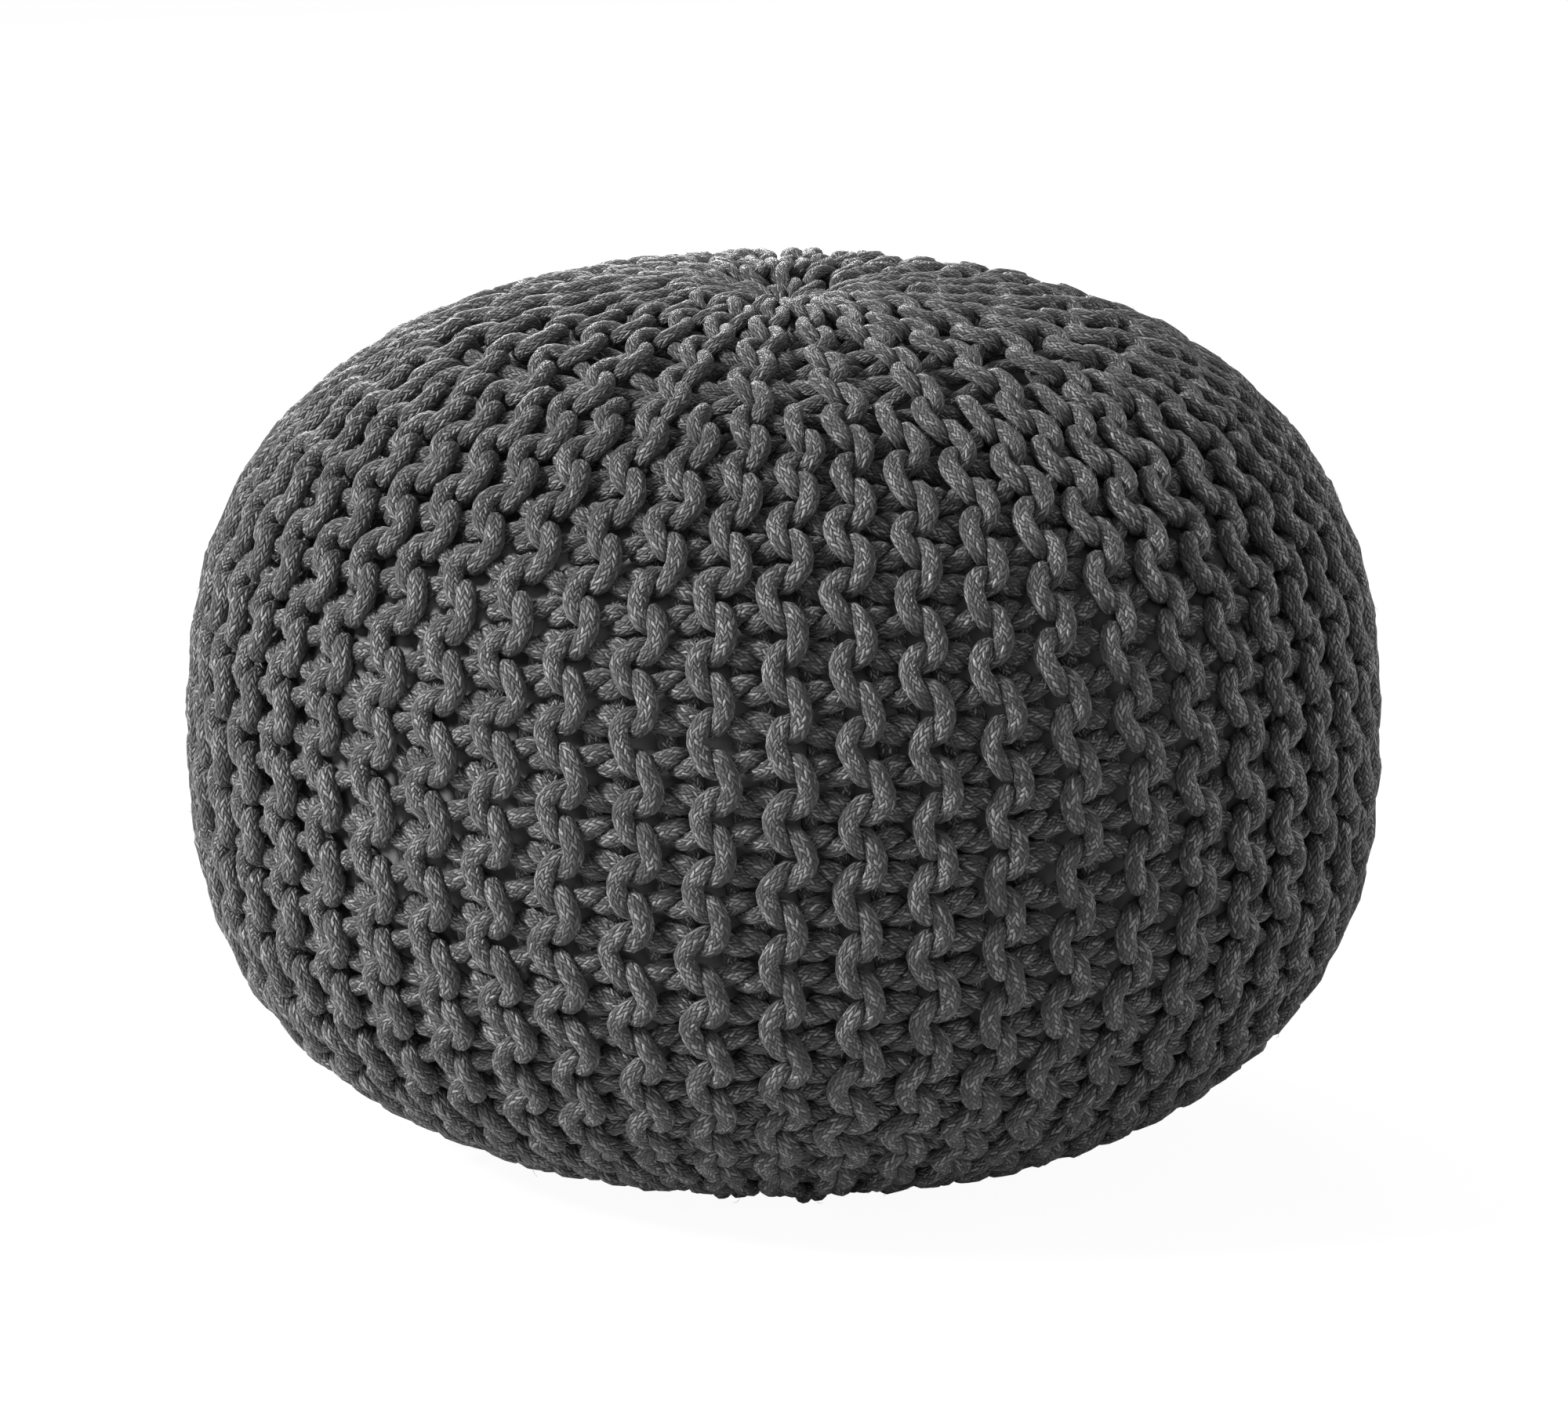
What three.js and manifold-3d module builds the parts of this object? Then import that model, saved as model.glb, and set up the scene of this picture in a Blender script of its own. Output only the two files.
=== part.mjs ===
// Round knitted cord pouf, standing on its flattened underside.
// Millimetres, +Z up, origin on the ground under the middle of the pouf.
import * as THREE from 'three';
import { mergeVertices } from 'three/addons/utils/BufferGeometryUtils.js';
import Module from 'manifold-3d';

// Overall size of the pouf, over the crests of the knitted ridges
const DIAMETER = 500;
const HEIGHT = 364;
const WIDEST_HEIGHT = 170;
const SIDE_FULLNESS = 2.6; // superellipse exponent: 2 is an ellipse, more is squarer
const REST_FLATTENING = 8; // how far the underside would bulge below the ground, had it not been pressed flat

// The drawn-together centres of the top and the underside
const TOP_DIMPLE = { radius: 38, depth: 9 };
const BASE_DIMPLE = { radius: 40, depth: 8 };
const EYELET_DIAMETER = 9; // the hole left in each drawn centre

// Garter-stitch cover: ridges run from pole to pole, in gores of four
const GORES = 13;
const RIDGES_PER_GORE = 4;
const CHANNEL_DEPTH = 11; // from a ridge's crest down to the channel beside it
const SHORT_RIDGE_INSET = 146; // arc length from a pole to where every second ridge ends
const MIDDLE_RIDGE_INSET = 60; // arc length from a pole to where every second remaining ridge ends
const PRESSED_BAND = 30; // arc length over which the channels fade out into the flat underside
const COVER_THICKNESS = 19; // under a ridge's crest
const COVER_GAP = 0.3; // between the cover and the liner

// Mesh density
const COLUMNS_PER_RIDGE = 2;
const CROWN_ROWS = 28;
const LINER_ROWS = 16;
const LINER_COLUMNS = 52;
const EYELET_SIDES = 24;

const KNIT_MATERIAL = new THREE.MeshStandardMaterial({
  color: 0x464646,
  roughness: 0.85,
  metalness: 0,
});
const LINER_MATERIAL = new THREE.MeshStandardMaterial({
  color: 0x4a4a4a,
  roughness: 0.9,
  metalness: 0,
});

const RADIUS = DIAMETER / 2;
const RIDGES = GORES * RIDGES_PER_GORE;

// A smooth bowl, deepest on the axis and level with its surroundings at its rim.
function bowl(radius, dimple) {
  const inside = Math.max(0, 1 - (radius / dimple.radius) ** 2);
  return dimple.depth * inside ** 2;
}

// Height of a superellipse arc over its widest radius, at a given radius.
function archHeight(radius, widest, rise) {
  const reach = Math.min(1, radius / widest);
  return rise * (1 - reach ** SIDE_FULLNESS) ** (1 / SIDE_FULLNESS);
}

// Half section from the top centre (t = 0), round the side, to the underside's centre (t = 1),
// drawn in by an inset all over. The vector's x is the radius and its y the height.
class HalfSection extends THREE.Curve {
  constructor(inset) {
    super();
    this.inset = inset;
  }

  getPoint(t, target = new THREE.Vector2()) {
    const turn = Math.PI * t;
    const widest = RADIUS - this.inset;
    const radius = widest * Math.sin(turn) ** (2 / SIDE_FULLNESS);
    if (t < 0.5) {
      const rise = HEIGHT - this.inset - WIDEST_HEIGHT;
      const height = WIDEST_HEIGHT + archHeight(radius, widest, rise);
      return target.set(radius, height - bowl(radius, TOP_DIMPLE));
    }
    const drop = WIDEST_HEIGHT - this.inset + REST_FLATTENING;
    const height = WIDEST_HEIGHT - archHeight(radius, widest, drop);
    return target.set(radius, Math.max(this.inset, height) + bowl(radius, BASE_DIMPLE));
  }
}

// How many ridges pass a ring that lies a given arc length from the nearer pole.
function ridgesAt(fromPole) {
  if (fromPole > SHORT_RIDGE_INSET) {
    return RIDGES;
  }
  return fromPole > MIDDLE_RIDGE_INSET ? RIDGES / 2 : RIDGES / 4;
}

// Depth below the crests, at an azimuth and a distance along the half section.
function channelDepth(azimuth, along, length, pressedFrom) {
  const ridges = ridgesAt(Math.min(along, length - along));
  const wave = (1 - Math.cos(ridges * azimuth)) / 2;
  const pressed = THREE.MathUtils.smoothstep(along, pressedFrom - PRESSED_BAND, pressedFrom);
  return CHANNEL_DEPTH * wave * (1 - pressed);
}

// A closed body of revolution about +Z, from a half section given from the top down.
function revolved(section, columns) {
  const upward = section.slice().reverse();
  const geometry = new THREE.LatheGeometry(upward, columns);
  geometry.rotateX(Math.PI / 2);
  return geometry;
}

function onlyPositions(geometry) {
  geometry.deleteAttribute('normal');
  geometry.deleteAttribute('uv');
  return mergeVertices(geometry, 1e-4);
}

// The filled outer form of the cover, with a channel on each side of every ridge.
function crownGeometry() {
  const curve = new HalfSection(0);
  const section = curve.getSpacedPoints(CROWN_ROWS);
  const length = curve.getLength();
  const spacing = length / CROWN_ROWS;
  const restRow = section.findIndex((point, row) => row > CROWN_ROWS / 2 && point.y < 1e-6);
  section[0].x = 0;
  section[CROWN_ROWS].x = 0;
  const geometry = revolved(section, RIDGES * COLUMNS_PER_RIDGE);
  const position = geometry.getAttribute('position');
  const rows = section.length;
  for (let i = 0; i < position.count; i += 1) {
    const row = rows - 1 - (i % rows);
    if (row === 0 || row === CROWN_ROWS) {
      continue;
    }
    const x = position.getX(i);
    const y = position.getY(i);
    const azimuth = Math.atan2(y, x);
    const depth = channelDepth(azimuth, row * spacing, length, restRow * spacing);
    const tangent = new THREE.Vector2().subVectors(section[row + 1], section[row - 1]).normalize();
    const radius = section[row].x;
    const inward = Math.min(depth * -tangent.y, radius * 0.4);
    position.setXYZ(
      i,
      x * (1 - inward / radius),
      y * (1 - inward / radius),
      section[row].y - depth * tangent.x,
    );
  }
  return onlyPositions(geometry);
}

// The plain round body that lies a given depth under the crests.
function innerGeometry(inset) {
  const section = new HalfSection(inset).getSpacedPoints(LINER_ROWS);
  section[0].x = 0;
  section[LINER_ROWS].x = 0;
  return onlyPositions(revolved(section, LINER_COLUMNS));
}

function solid(wasm, geometry) {
  return new wasm.Manifold(
    new wasm.Mesh({
      numProp: 3,
      vertProperties: new Float32Array(geometry.getAttribute('position').array),
      triVerts: new Uint32Array(geometry.index.array),
    }),
  );
}

function bufferGeometry(manifold) {
  const mesh = manifold.getMesh();
  const geometry = new THREE.BufferGeometry();
  geometry.setAttribute('position', new THREE.BufferAttribute(mesh.vertProperties, 3));
  geometry.setIndex(new THREE.BufferAttribute(mesh.triVerts, 1));
  geometry.computeVertexNormals();
  return geometry;
}

// A round hole straight up through both drawn centres of the cover.
function eyeletGeometry() {
  const radius = EYELET_DIAMETER / 2;
  const length = HEIGHT + DIAMETER;
  const geometry = new THREE.CylinderGeometry(radius, radius, length, EYELET_SIDES);
  geometry.rotateX(Math.PI / 2);
  geometry.translate(0, 0, HEIGHT / 2);
  return onlyPositions(geometry);
}

function named(name, geometry, material) {
  const mesh = new THREE.Mesh(geometry, material);
  mesh.name = name;
  return mesh;
}

const wasm = await Module();
wasm.setup();

const cover = solid(wasm, crownGeometry())
  .subtract(solid(wasm, innerGeometry(COVER_THICKNESS)))
  .subtract(solid(wasm, eyeletGeometry()));

const pouf = new THREE.Group();
pouf.name = 'knitted_pouf';
pouf.add(named('knit_cover', bufferGeometry(cover), KNIT_MATERIAL));
pouf.add(named('liner', innerGeometry(COVER_THICKNESS + COVER_GAP), LINER_MATERIAL));

export default pouf;
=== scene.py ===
"""A round pouf hand-knitted in garter stitch from one thick braided cotton cord.

The cord is laid stitch by stitch along the whole knitting plan, row after row, and then settled: it keeps
its length, bends evenly, rests on the liner and is pushed clear of itself. A tube is swept along it, one
mesh for each short-row gore. Everything is in metres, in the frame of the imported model: +Z up, standing on
z = 0.
"""

import logging
import math
from dataclasses import dataclass, replace
from enum import Enum
from typing import Optional, Sequence, Union

import bpy
import numpy as np
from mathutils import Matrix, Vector


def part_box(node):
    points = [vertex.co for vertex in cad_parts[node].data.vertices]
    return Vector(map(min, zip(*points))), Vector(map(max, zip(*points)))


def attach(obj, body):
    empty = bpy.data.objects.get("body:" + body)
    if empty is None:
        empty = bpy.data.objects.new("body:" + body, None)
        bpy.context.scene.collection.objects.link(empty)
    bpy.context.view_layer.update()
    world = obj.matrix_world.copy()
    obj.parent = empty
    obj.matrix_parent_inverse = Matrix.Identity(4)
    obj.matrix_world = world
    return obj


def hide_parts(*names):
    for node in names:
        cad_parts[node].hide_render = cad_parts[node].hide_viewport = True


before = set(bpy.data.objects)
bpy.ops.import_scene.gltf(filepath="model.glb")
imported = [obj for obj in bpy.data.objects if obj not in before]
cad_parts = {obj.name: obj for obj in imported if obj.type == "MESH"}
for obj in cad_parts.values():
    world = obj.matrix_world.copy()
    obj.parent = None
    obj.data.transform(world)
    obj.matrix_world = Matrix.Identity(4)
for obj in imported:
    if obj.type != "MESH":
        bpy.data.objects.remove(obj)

log = logging.getLogger("pouf")

Array = np.ndarray
Arrays = tuple[Array, Array]

MM = 0.001
COVER_NODE = "knit_cover"
LINER_NODE = "liner"


# --- The body ---


def running_length(points: Array) -> Array:
    """Distance along a polyline up to each of its points."""
    steps = np.linalg.norm(np.diff(points, axis=0), axis=1)
    return np.concatenate([[0.0], np.cumsum(steps)])


def sampled(values: Array, places: Array, wanted: Array) -> Array:
    """Rows of values, known at rising places, read off at other places."""
    return np.stack([np.interp(wanted, places, column) for column in values.T], axis=1)


def smoothed(values: Array, width: int) -> Array:
    """Averages values along their first axis under a bell.

    Args:
        values: The values, in one column or several.
        width: Width of the bell, an odd number of values.

    Returns:
        As many smoother values.
    """
    bell = np.hanning(width + 2)[1:-1]
    bell /= bell.sum()
    if values.ndim == 1:
        return np.convolve(np.pad(values, width // 2, mode="edge"), bell, "valid")
    return np.stack([smoothed(column, width) for column in values.T], axis=1)


def unit(vectors: Array) -> Array:
    """Vectors brought to length 1."""
    return vectors / np.linalg.norm(vectors, axis=-1, keepdims=True)


def smoothstep(low: float, high: float, value: Array) -> Array:
    """0 below low, 1 above high, and a smooth rise between."""
    share = np.clip((value - low) / (high - low), 0, 1)
    return share * share * (3 - 2 * share)


@dataclass(frozen=True)
class Dimple:
    """A smooth bowl drawn into the middle of the top or the underside.

    Args:
        radius: Where the bowl runs out level.
        depth: How deep it is on the axis.
    """

    radius: float
    depth: float

    def at(self, radius: Array) -> Array:
        """Depth of the bowl at each radius."""
        return self.depth * np.clip(1 - (radius / self.radius) ** 2, 0, None) ** 2


@dataclass(frozen=True)
class Outline:
    """Half section of the body, evenly sampled from the middle of the top to that of the underside.

    Args:
        arc: Distance of each sample along the section.
        radius: Its radius.
        height: Its height.
        normal_radius: Radial part of its outward normal.
        normal_height: Upright part of its outward normal.
    """

    arc: Array
    radius: Array
    height: Array
    normal_radius: Array
    normal_height: Array

    LEAST_RADIUS = 4 * MM

    @property
    def length(self) -> float:
        """Length of the half section."""
        return float(self.arc[-1])

    def radius_at(self, arc: Array) -> Array:
        """Radius at a distance along the half section."""
        return np.interp(arc, self.arc, self.radius)

    def place(self, arc: Array, azimuth: Array, out: Array) -> Array:
        """Points at a distance along the half section, an azimuth and a distance outwards.

        Args:
            arc: Distance from the middle of the top.
            azimuth: Angle about +Z from +X.
            out: Distance out along the normal.

        Returns:
            Points, one row each.
        """
        radius = self.radius_at(arc) + out * np.interp(arc, self.arc, self.normal_radius)
        height = np.interp(arc, self.arc, self.height) + out * np.interp(arc, self.arc, self.normal_height)
        radius = np.maximum(radius, self.LEAST_RADIUS)
        return np.stack([radius * np.cos(azimuth), radius * np.sin(azimuth), height], axis=1)


@dataclass(frozen=True)
class PoufForm:
    """The round body over the crests of the knitting, flattened where it rests.

    Args:
        radius: Half the width.
        height: Height from the ground.
        widest: Height of the widest ring.
        fullness: Superellipse exponent of the side: 2 is an ellipse, more is squarer.
        flattening: How far the underside would bulge below the ground, had it not been pressed flat.
        top_dimple: The drawn-together centre of the top.
        base_dimple: The drawn-together centre of the underside.
    """

    radius: float
    height: float
    widest: float = 170 * MM
    fullness: float = 2.6
    flattening: float = 8 * MM
    top_dimple: Dimple = Dimple(38 * MM, 9 * MM)
    base_dimple: Dimple = Dimple(40 * MM, 8 * MM)

    SAMPLES = 4001
    NORMAL_SMOOTHING = 41  # samples

    @classmethod
    def from_frame(cls) -> "PoufForm":
        """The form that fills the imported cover's box."""
        low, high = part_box(COVER_NODE)
        return cls(radius=(high.x - low.x) / 2, height=high.z - low.z)

    def outline(self, inset: float, top_drop: float) -> Outline:
        """Half section of the body drawn in by an inset.

        Args:
            inset: Distance inwards from the crests.
            top_drop: How much further in it lies at the top, running out at the widest ring.

        Returns:
            The half section, with its outward normals.
        """
        turn = np.linspace(0, math.pi, self.SAMPLES)
        widest = self.radius - inset
        radius = widest * np.sin(turn).clip(0) ** (2 / self.fullness)
        reach = np.minimum(1, radius / widest) ** self.fullness
        arch = (1 - reach).clip(0) ** (1 / self.fullness)
        above = self.widest + (self.height - inset - top_drop - self.widest) * arch
        above = above - self.top_dimple.at(radius)
        below = self.widest - (self.widest - inset + self.flattening) * arch
        below = np.maximum(inset, below) + self.base_dimple.at(radius)
        height = np.where(turn < math.pi / 2, above, below)
        arc = running_length(np.stack([radius, height], axis=1))
        even = np.linspace(0, arc[-1], self.SAMPLES)
        radius = np.interp(even, arc, radius)
        height = np.interp(even, arc, height)
        along_radius = smoothed(np.gradient(radius, even), self.NORMAL_SMOOTHING)
        along_height = smoothed(np.gradient(height, even), self.NORMAL_SMOOTHING)
        size = np.hypot(along_radius, along_height)
        return Outline(even, radius, height, -along_height / size, along_radius / size)


# --- The knitting ---


class Face(Enum):
    """Which face of the fabric the heads of a row's loops lie on."""

    OUTER = 1
    INNER = -1


class Unevenness:
    """The slow wander of hand knitting, as a few seeded waves, and each stitch's own jitter."""

    WAVES = 14  # in each field
    MOST_TURNS = 9  # crests of a wave round the pouf
    SHORTEST_WAVE = 95 * MM  # along the half section
    MOST_JITTER = 2  # standard deviations

    def __init__(self, seed: int) -> None:
        """Starts the draws from a seed."""
        self.random = np.random.default_rng(seed)
        self.fields = {}

    def field(self, name: str, around: Array, along: Array) -> Array:
        """A smooth field of about unit size, the same for the same name.

        Args:
            name: Name of the field.
            around: Azimuth.
            along: Distance along the half section.

        Returns:
            The field's value at each place.
        """
        if name not in self.fields:
            turns = self.random.integers(-self.MOST_TURNS, self.MOST_TURNS + 1, self.WAVES)
            rises = self.random.uniform(-1, 1, self.WAVES) * 2 * math.pi / self.SHORTEST_WAVE
            starts = self.random.uniform(0, 2 * math.pi, self.WAVES)
            self.fields[name] = (turns, rises, starts)
        total = np.zeros_like(along)
        for turn, rise, start in zip(*self.fields[name]):
            total += np.sin(turn * around + rise * along + start)
        return total / math.sqrt(self.WAVES / 2)

    def jitter(self, count: int) -> Array:
        """One draw of about unit size for each of a number of stitches."""
        return np.clip(self.random.normal(size=count), -self.MOST_JITTER, self.MOST_JITTER)


@dataclass(frozen=True)
class GarterPlan:
    """The knitting plan: garter stitch worked sideways in short-row gores.

    Args:
        gores: Number of gores round the pouf.
        columns: Stitches from the first one at the top to the middle of the underside.
        drawn: How many stitches' length from the middle of the top the first one starts.
        top_insets: How many stitches short of the top each ridge of a gore stops.
        base_insets: How many stitches short of the underside's centre each channel of a gore stops.
        cord: Diameter of the cord.
        depth: How far a head on the outer face stands out from the middle of the fabric.
        inner_depth: How far a head on the inner face stands in from it.
        top_drop: How much further in it stands at the top, where the rows are drawn together.
        sinking: How far the crests sink as the cord settles.
        top_gain: How far the crowding lifts the fabric at the top.
        right_overlap: How far the right column of a ridge passes the ridge's middle.
        left_overlap: The same for the left column, which is knitted looser.
        inner_overlap: The same on the inner face.
        drawing: How far the overlaps shrink where the rows are drawn together, from 0 to 1.
        bulge: How far a loop widens towards its head on the outer face, as a share of the stitch.
        inner_bulge: The same on the inner face.
        skew: How far the right loops sag and the left ones are drawn up, as a share of their reach.
        jitter: Size of each stitch's own unevenness.
        lean: Angle by which the ridges have turned between the side and the top.
        nodes: Nodes of the planned path in a stitch.
    """

    gores: int = 13
    columns: int = 24
    drawn: float = 0.63
    top_insets: Sequence[int] = (0, 5, 1, 5)
    base_insets: Sequence[int] = (1, 5, 2, 5)
    cord: float = 8.6 * MM
    depth: float = 6.4 * MM
    inner_depth: float = 4.0 * MM
    top_drop: float = 3.5 * MM
    sinking: float = 2.0 * MM
    top_gain: float = 1.2 * MM
    right_overlap: float = 6.0 * MM
    left_overlap: float = 8.0 * MM
    inner_overlap: float = 6.0 * MM
    drawing: float = 0.3
    bulge: float = 0.09
    inner_bulge: float = 0.15
    skew: float = 0.18
    jitter: float = 1.0
    lean: float = math.radians(2.5)
    nodes: int = 20

    def opened(self) -> "GarterPlan":
        """The same plan with open, even stitches, in which no two turns of the cord meet."""
        even = {"skew": 0.0, "jitter": 0.0, "top_drop": 0.0, "drawing": 0.0}
        return replace(self, bulge=0.17, inner_bulge=0.17, inner_depth=8 * MM, **even)

    @property
    def inset(self) -> float:
        """Distance of the middle of the fabric from the crests, once they have sunk."""
        return self.depth + self.cord / 2 - self.sinking

    @property
    def thickness(self) -> float:
        """Thickness of the fabric, once the crests have sunk."""
        return self.depth + self.inner_depth + self.cord - self.sinking

    @property
    def ridges(self) -> int:
        """Ridges round the pouf."""
        return self.gores * len(self.top_insets)

    @property
    def rows(self) -> int:
        """Rows round the pouf, two to a ridge."""
        return 2 * self.ridges


@dataclass(frozen=True)
class Stretch:
    """A stretch of the planned path: a row or a turn.

    Args:
        arc: Distance of each node from the middle of the top.
        azimuth: Angle of the row's middle line there.
        across: Distance sideways from that line.
        out: Distance outwards from the middle of the fabric.
    """

    arc: Array
    azimuth: Array
    across: Array
    out: Array


class KnitPath:
    """Lays the cord along the knitting plan, stitch by stitch.

    TURN is the turn from a row into the next: past the last stitch in stitches, across in loop reaches and
    out in depths. The last constants are how much each kind of unevenness changes a stitch.
    """

    TURN = (
        (0.55, -0.90, -0.90),
        (0.80, -0.75, -0.50),
        (0.95, -0.30, 0.20),
        (0.80, -0.10, 1.00),
        (0.58, -0.35, 1.10),
    )
    ROW_END = 0.62  # how far a row goes on past its last head, and starts before its first, in half loops
    HALF_PAIR = 0.25  # half the gap between the two rows of a pair, in ridges
    RUN_OUT = (-0.75, 0.35)  # stitches from its own end, between which a short ridge runs out
    LEAN_ZONE = (130 * MM, 300 * MM)  # from the middle of the top, like the next
    TOP_ZONE = (120 * MM, 300 * MM)
    TURN_LIMIT = 0.30  # stitches from a pole, like the next
    POLE_LIMIT = 0.35
    LEAST_RADIUS = 12 * MM
    TIGHTEST = 0.6  # row gap, as a share of the widest, below which the overlaps shrink no further
    SLIDE = 0.04  # stitches
    REACH = 0.10  # shares of the overlap
    SLACK = 0.08
    LIFT = 0.5 * MM
    DRIFT = 2.0 * MM
    DRIFT_ZONE = (60 * MM, 150 * MM)  # from the axis
    CLIMB = 1.6 * MM

    def __init__(self, plan: GarterPlan, form: PoufForm, unevenness: Unevenness) -> None:
        """Sets the plan out on the form.

        Args:
            plan: The knitting plan.
            form: The body.
            unevenness: Where the knitting wanders.
        """
        self.plan = plan
        self.unevenness = unevenness
        self.middle = form.outline(plan.inset, -plan.top_gain)
        self.pitch = self.middle.length / (plan.columns + plan.drawn)
        self.step = 2 * math.pi / plan.ridges
        self.top_edges = [inset + plan.drawn for inset in plan.top_insets]

    def share_stopped(self, from_pole: Array, inset: float) -> Array:
        """How far the rows that stop short by an inset have run out, from 0 to 1 towards the pole."""
        edges = inset * self.pitch + np.array(self.RUN_OUT) * self.pitch
        return 1 - smoothstep(*edges, from_pole)

    def half_spread(self, pair: int, from_pole: Array, insets: Sequence[float]) -> Array:
        """Half the angle between the two rows of a pair, which opens where its neighbours stop.

        Args:
            pair: Number of the pair, a ridge from the top or a channel from the underside.
            from_pole: Distance from the pole.
            insets: How many stitches short of the pole each pair of a gore stops.

        Returns:
            The angle, in ridges.
        """
        kind = pair % len(insets)
        spread = np.full_like(from_pole, self.HALF_PAIR)
        if kind % 2 == 0:
            spread = spread + self.HALF_PAIR * self.share_stopped(from_pole, insets[1])
        if kind == 0:
            spread = spread + 2 * self.HALF_PAIR * self.share_stopped(from_pole, insets[2])
        return spread

    def azimuth(self, row: int, arc: Array) -> Array:
        """Azimuth of a row's middle line.

        Args:
            row: Number of the row.
            arc: Distance from the middle of the top.

        Returns:
            The azimuth at each distance.
        """
        side = -1 if row % 2 == 0 else 1
        from_base = self.middle.length - arc
        top = self.half_spread(row // 2, arc, self.top_edges) - self.HALF_PAIR
        base = self.half_spread((row - 1) // 2, from_base, self.plan.base_insets) - self.HALF_PAIR
        lean = self.plan.lean * (1 - smoothstep(*self.LEAN_ZONE, arc))
        return (row // 2 + side * (self.HALF_PAIR + top - base)) * self.step + lean

    def row_gap(self, arc: Array) -> Array:
        """Distance between neighbouring rows.

        Args:
            arc: Distance from the middle of the top.

        Returns:
            The gap at each distance.
        """
        share = np.ones_like(arc)
        from_base = self.middle.length - arc
        for from_pole, insets in ((arc, self.top_edges), (from_base, self.plan.base_insets)):
            short = self.share_stopped(from_pole, insets[1])
            middle = self.share_stopped(from_pole, insets[2])
            share *= middle * 4 + (1 - middle) * (1 + short)
        return self.middle.radius_at(arc) * self.step / 2 * share

    def outer_rise(self, phase: Array) -> Array:
        """How far out the cord is on the outer face, where the heads dive steeply at both ends."""
        return self.plan.depth * smoothstep(0, 0.8, np.abs(np.cos(phase)))

    def inner_rise(self, phase: Array, arc: Array) -> Array:
        """How far in the cord is on the inner face, where it sinks slowly, and deeper near the top."""
        depth = self.plan.inner_depth + self.plan.top_drop * (1 - smoothstep(*self.TOP_ZONE, arc))
        return depth * np.cos(phase) ** 2

    def row(self, row: int) -> Stretch:
        """Lays the loops of one row, from its first stitch to its last.

        Args:
            row: Number of the row.

        Returns:
            The loops.
        """
        plan = self.plan
        face = Face.OUTER if row % 2 == 0 else Face.INNER
        first, last = self.row_ends(row)
        way = 1 if last > first else -1
        stitches = np.arange(first, last, way)
        count = len(stitches)
        end = (2 * count - 2 + self.ROW_END) * math.pi
        phase = np.linspace(-self.ROW_END * math.pi, end, count * plan.nodes)
        place = np.round(phase / (2 * math.pi)).astype(int).clip(0, count - 1)
        phase = phase - place * 2 * math.pi
        slide, reach, lift = (plan.jitter * self.unevenness.jitter(count)[place] for _ in range(3))
        outer = (np.cos(phase) > 0) == (face is Face.OUTER)
        bulge = np.where(outer, plan.bulge, plan.inner_bulge)
        along = phase / (2 * math.pi) + bulge * np.sin(2 * phase)
        arc = (stitches[place] + plan.drawn + 0.5 + self.SLIDE * slide + way * along) * self.pitch
        azimuth = self.azimuth(row, arc)
        drift = self.unevenness.field("drift", azimuth, arc)
        slack = self.unevenness.field("slack", azimuth, arc)
        overlap = plan.right_overlap if face is Face.OUTER else plan.left_overlap
        overlap = np.where(outer, overlap, plan.inner_overlap)
        gap = self.row_gap(arc)
        widest_gap = self.middle.radius.max() * self.step / 2
        tight = 1 - plan.drawing * (1 - np.clip(gap / widest_gap, self.TIGHTEST, 1))
        loop = gap / 2 + overlap * tight * (1 + self.REACH * reach + self.SLACK * slack)
        out = np.where(outer, self.outer_rise(phase), -self.inner_rise(phase, arc)) + self.LIFT * lift
        wander = self.DRIFT * drift * smoothstep(*self.DRIFT_ZONE, self.middle.radius_at(arc))
        arc = arc + self.CLIMB * self.unevenness.field("climb", azimuth, arc)
        sag = plan.skew * way * np.sin(2 * phase)
        return Stretch(arc, azimuth, loop * (np.cos(phase) + sag) + wander, out)

    def row_ends(self, row: int) -> tuple[int, int]:
        """Finds where a row starts and stops: even rows are worked upwards, odd rows down.

        Args:
            row: Number of the row.

        Returns:
            Its first stitch, and the one past its last.
        """
        plan = self.plan
        top = plan.top_insets[(row // 2) % len(plan.top_insets)]
        base = plan.columns - 1 - plan.base_insets[((row - 1) // 2) % len(plan.base_insets)]
        return (base, top - 1) if row % 2 == 0 else (top, base + 1)

    def turn(self, row: int) -> Stretch:
        """Lays the turn from the end of a row into the next one.

        Args:
            row: Number of the row.

        Returns:
            The turn.
        """
        plan = self.plan
        upward = row % 2 == 0
        edge = plan.top_insets[(row // 2) % len(plan.top_insets)] if upward else self.row_ends(row)[1] - 1
        start = (edge + plan.drawn + 0.5) * self.pitch
        beyond, across, out = np.array(self.TURN).T
        arc = start + (-1 if upward else 1) * beyond * self.pitch
        reach = self.row_gap(np.array([start]))[0] / 2 + plan.inner_overlap
        known = np.clip(arc, self.TURN_LIMIT * self.pitch, self.middle.length - self.TURN_LIMIT * self.pitch)
        azimuth = (self.azimuth(row, known) + self.azimuth(row + 1, known)) / 2
        return Stretch(arc, azimuth, across * reach, (1 if upward else -1) * out * plan.depth)

    def lay(self) -> tuple[Array, list[int]]:
        """Lays the whole cord.

        Returns:
            The nodes of the path, and the first node of each gore.
        """
        rows_in_gore = self.plan.rows // self.plan.gores
        points = []
        starts = []
        count = 0
        for row in range(self.plan.rows):
            if row % rows_in_gore == 0:
                starts.append(count)
            for stretch in (self.row(row), self.turn(row)):
                points.append(self.placed(stretch))
                count += len(points[-1])
        return np.concatenate(points), starts

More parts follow.
